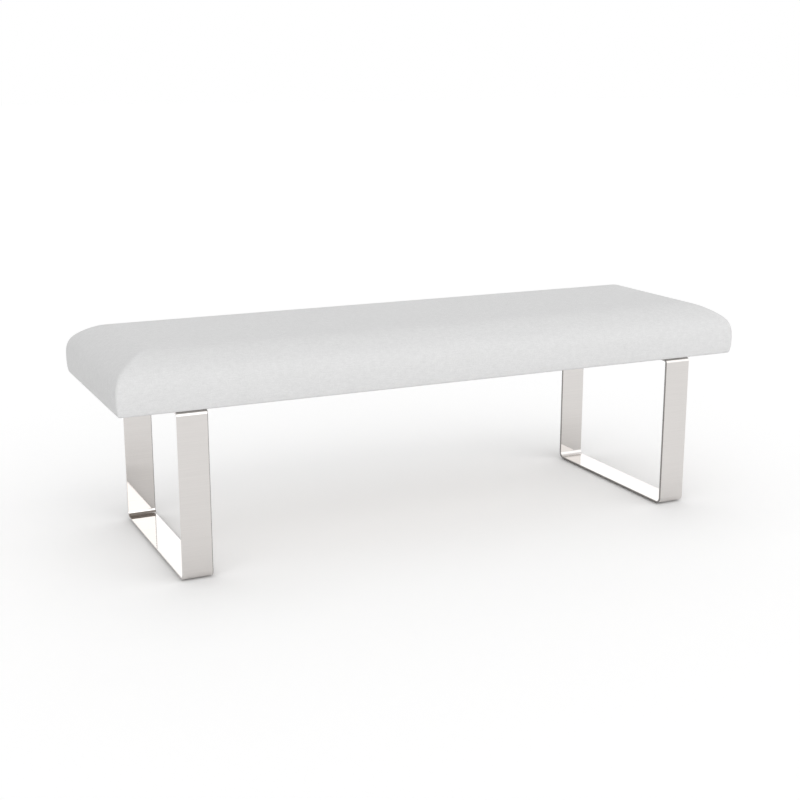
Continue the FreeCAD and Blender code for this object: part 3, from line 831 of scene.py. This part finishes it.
def dress_solids():
    """Gives every carried-over solid its procedural finish."""
    along = hardwood("beech_along", (7, 110, 110))
    across = hardwood("beech_across", (110, 7, 110))
    zinc = zinc_steel()
    finishes = {
        along: ("front_rail", "rear_rail"),
        across: ("left_end_rail", "right_end_rail", "left_cross_rail", "centre_cross_rail",
                 "right_cross_rail", "left_leg_cleat", "right_leg_cleat", "corner_blocks"),
        plywood(): ("seat_deck",),
        glide_nylon(): ("floor_glides",),
        zinc: ("leg_bolts", "leg_washers", "leg_nuts", "frame_screws", "deck_screws", "cover_staples",
               "dust_cover_staples"),
    }
    for material, names in finishes.items():
        for name in names:
            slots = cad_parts[name].data.materials
            slots.clear()
            slots.append(material)


# Floor, light and camera

FLOOR_REACH = 40.0
FLOOR_ALBEDO = 0.9
FLOOR_GLOW = 0.19
# Reach, power and samples of the ambient occlusion that paints shade into the floor's glow near the legs
PAINTED_SHADE_REACH = 0.34
PAINTED_SHADE_POWER = 4.0
PAINTED_SHADE_SAMPLES = 16
WORLD_LIGHT = 0.71
WHITE = (1, 1, 1, 1)

# Each light's bearing, elevation and spread in degrees, and its strength

LIGHTS = {
    "front_left_light": (-20, 20, 80, 0.74),
    "front_right_light": (20, 20, 80, 0.72),
    "back_light": (155, 16, 58, 0.33),
}
CAMERA_PLACE = (-1.28777, -2.67748, 0.99296)
CAMERA_BEARING = 25.2404
CAMERA_DIP = 13.7903
CAMERA_LENS = 60.24
CAMERA_SENSOR = 36


def seen_rays(tree):
    """1 for rays from the camera, from metal and through glass, and 0 for light between matt surfaces."""
    path = add(tree, "LightPath")
    seen = sums(tree, "MAXIMUM", path.outputs["Is Camera Ray"], path.outputs["Is Glossy Ray"])
    seen = sums(tree, "MAXIMUM", seen, path.outputs["Is Transmission Ray"])
    return sums(tree, "MULTIPLY", seen, sums(tree, "LESS_THAN", path.outputs["Diffuse Depth"], 0.5))


def make_floor():
    """A wide pale floor, white in the open. Its own glow is dimmed by ambient occlusion close to the legs:
    a painted contact shadow added to their real shadow.
    """
    corners = [(-FLOOR_REACH, -FLOOR_REACH, 0), (FLOOR_REACH, -FLOOR_REACH, 0),
               (FLOOR_REACH, FLOOR_REACH, 0), (-FLOOR_REACH, FLOOR_REACH, 0)]
    floor = new_piece("floor", corners, [[0, 1, 2, 3]])
    material = bpy.data.materials.new("pale_floor")
    material.use_nodes = True
    tree = material.node_tree
    tree.nodes.clear()
    matt = add(tree, "BsdfDiffuse", {"Color": (FLOOR_ALBEDO, FLOOR_ALBEDO, FLOOR_ALBEDO, 1)})
    # Painted shade: ambient occlusion, reaching the legs but not the seat, darkens the floor's glow round
    # the legs
    clear = add(tree, "AmbientOcclusion", {"Distance": PAINTED_SHADE_REACH}, samples=PAINTED_SHADE_SAMPLES)
    painted_shade_factor = sums(tree, "POWER", clear.outputs["AO"], PAINTED_SHADE_POWER)
    strength = sums(tree, "MULTIPLY", sums(tree, "MULTIPLY", seen_rays(tree), painted_shade_factor), FLOOR_GLOW)
    glow = add(tree, "Emission", {"Strength": strength})
    both = add(tree, "AddShader", {0: matt.outputs[0], 1: glow.outputs[0]})
    add(tree, "OutputMaterial", {"Surface": both.outputs[0]})
    floor.data.materials.append(material)


def make_world():
    """Soft light from all round, and a white background."""
    world = bpy.data.worlds.new("studio")
    scene.world = world
    world.use_nodes = True
    tree = world.node_tree
    tree.nodes.clear()
    ambient = add(tree, "Background", {"Color": WHITE, "Strength": WORLD_LIGHT})
    white = add(tree, "Background", {"Color": WHITE, "Strength": 1.0})
    both = add(tree, "MixShader", {0: seen_rays(tree), 1: ambient.outputs[0], 2: white.outputs[0]})
    add(tree, "OutputWorld", {"Surface": both.outputs[0]})


def soft_light(name, bearing, elevation, spread, strength):
    """A wide, even source far away, with its bearing from the front to the right."""
    lamp = bpy.data.lights.new(name, "SUN")
    lamp.energy = strength
    lamp.angle = math.radians(spread)
    holder = bpy.data.objects.new(name, lamp)
    holder.rotation_euler = (math.radians(90 - elevation), 0, math.radians(bearing))
    holder.visible_camera = False
    scene.collection.objects.link(holder)


def make_camera():
    """The camera at the photograph's place, for a square image."""
    lens = bpy.data.cameras.new("camera")
    lens.lens = CAMERA_LENS
    lens.sensor_width = CAMERA_SENSOR
    camera = bpy.data.objects.new("camera", lens)
    camera.location = CAMERA_PLACE
    camera.rotation_euler = (math.radians(90 - CAMERA_DIP), 0, -math.radians(CAMERA_BEARING))
    scene.collection.objects.link(camera)
    scene.camera = camera


# The whole scene

scene.view_settings.view_transform = "Standard"
make_camera()
make_floor()
make_world()
for light, aim in LIGHTS.items():
    soft_light(light, *aim)

seat_cover()
batting_layer()
foam_material = foam()
foam_slab(foam_material)
for strip in ("front_edge_foam", "rear_edge_foam", "left_edge_foam", "right_edge_foam"):
    foam_strip(strip, foam_material)
dust_sheet()
steel = polished_steel()
bar_side_painted_shade = shaded_side_steel()
leg_loop("left_leg_loop", "left_loop_bar", steel, bar_side_painted_shade)
leg_loop("right_leg_loop", "right_loop_bar", steel, bar_side_painted_shade)
dress_solids()
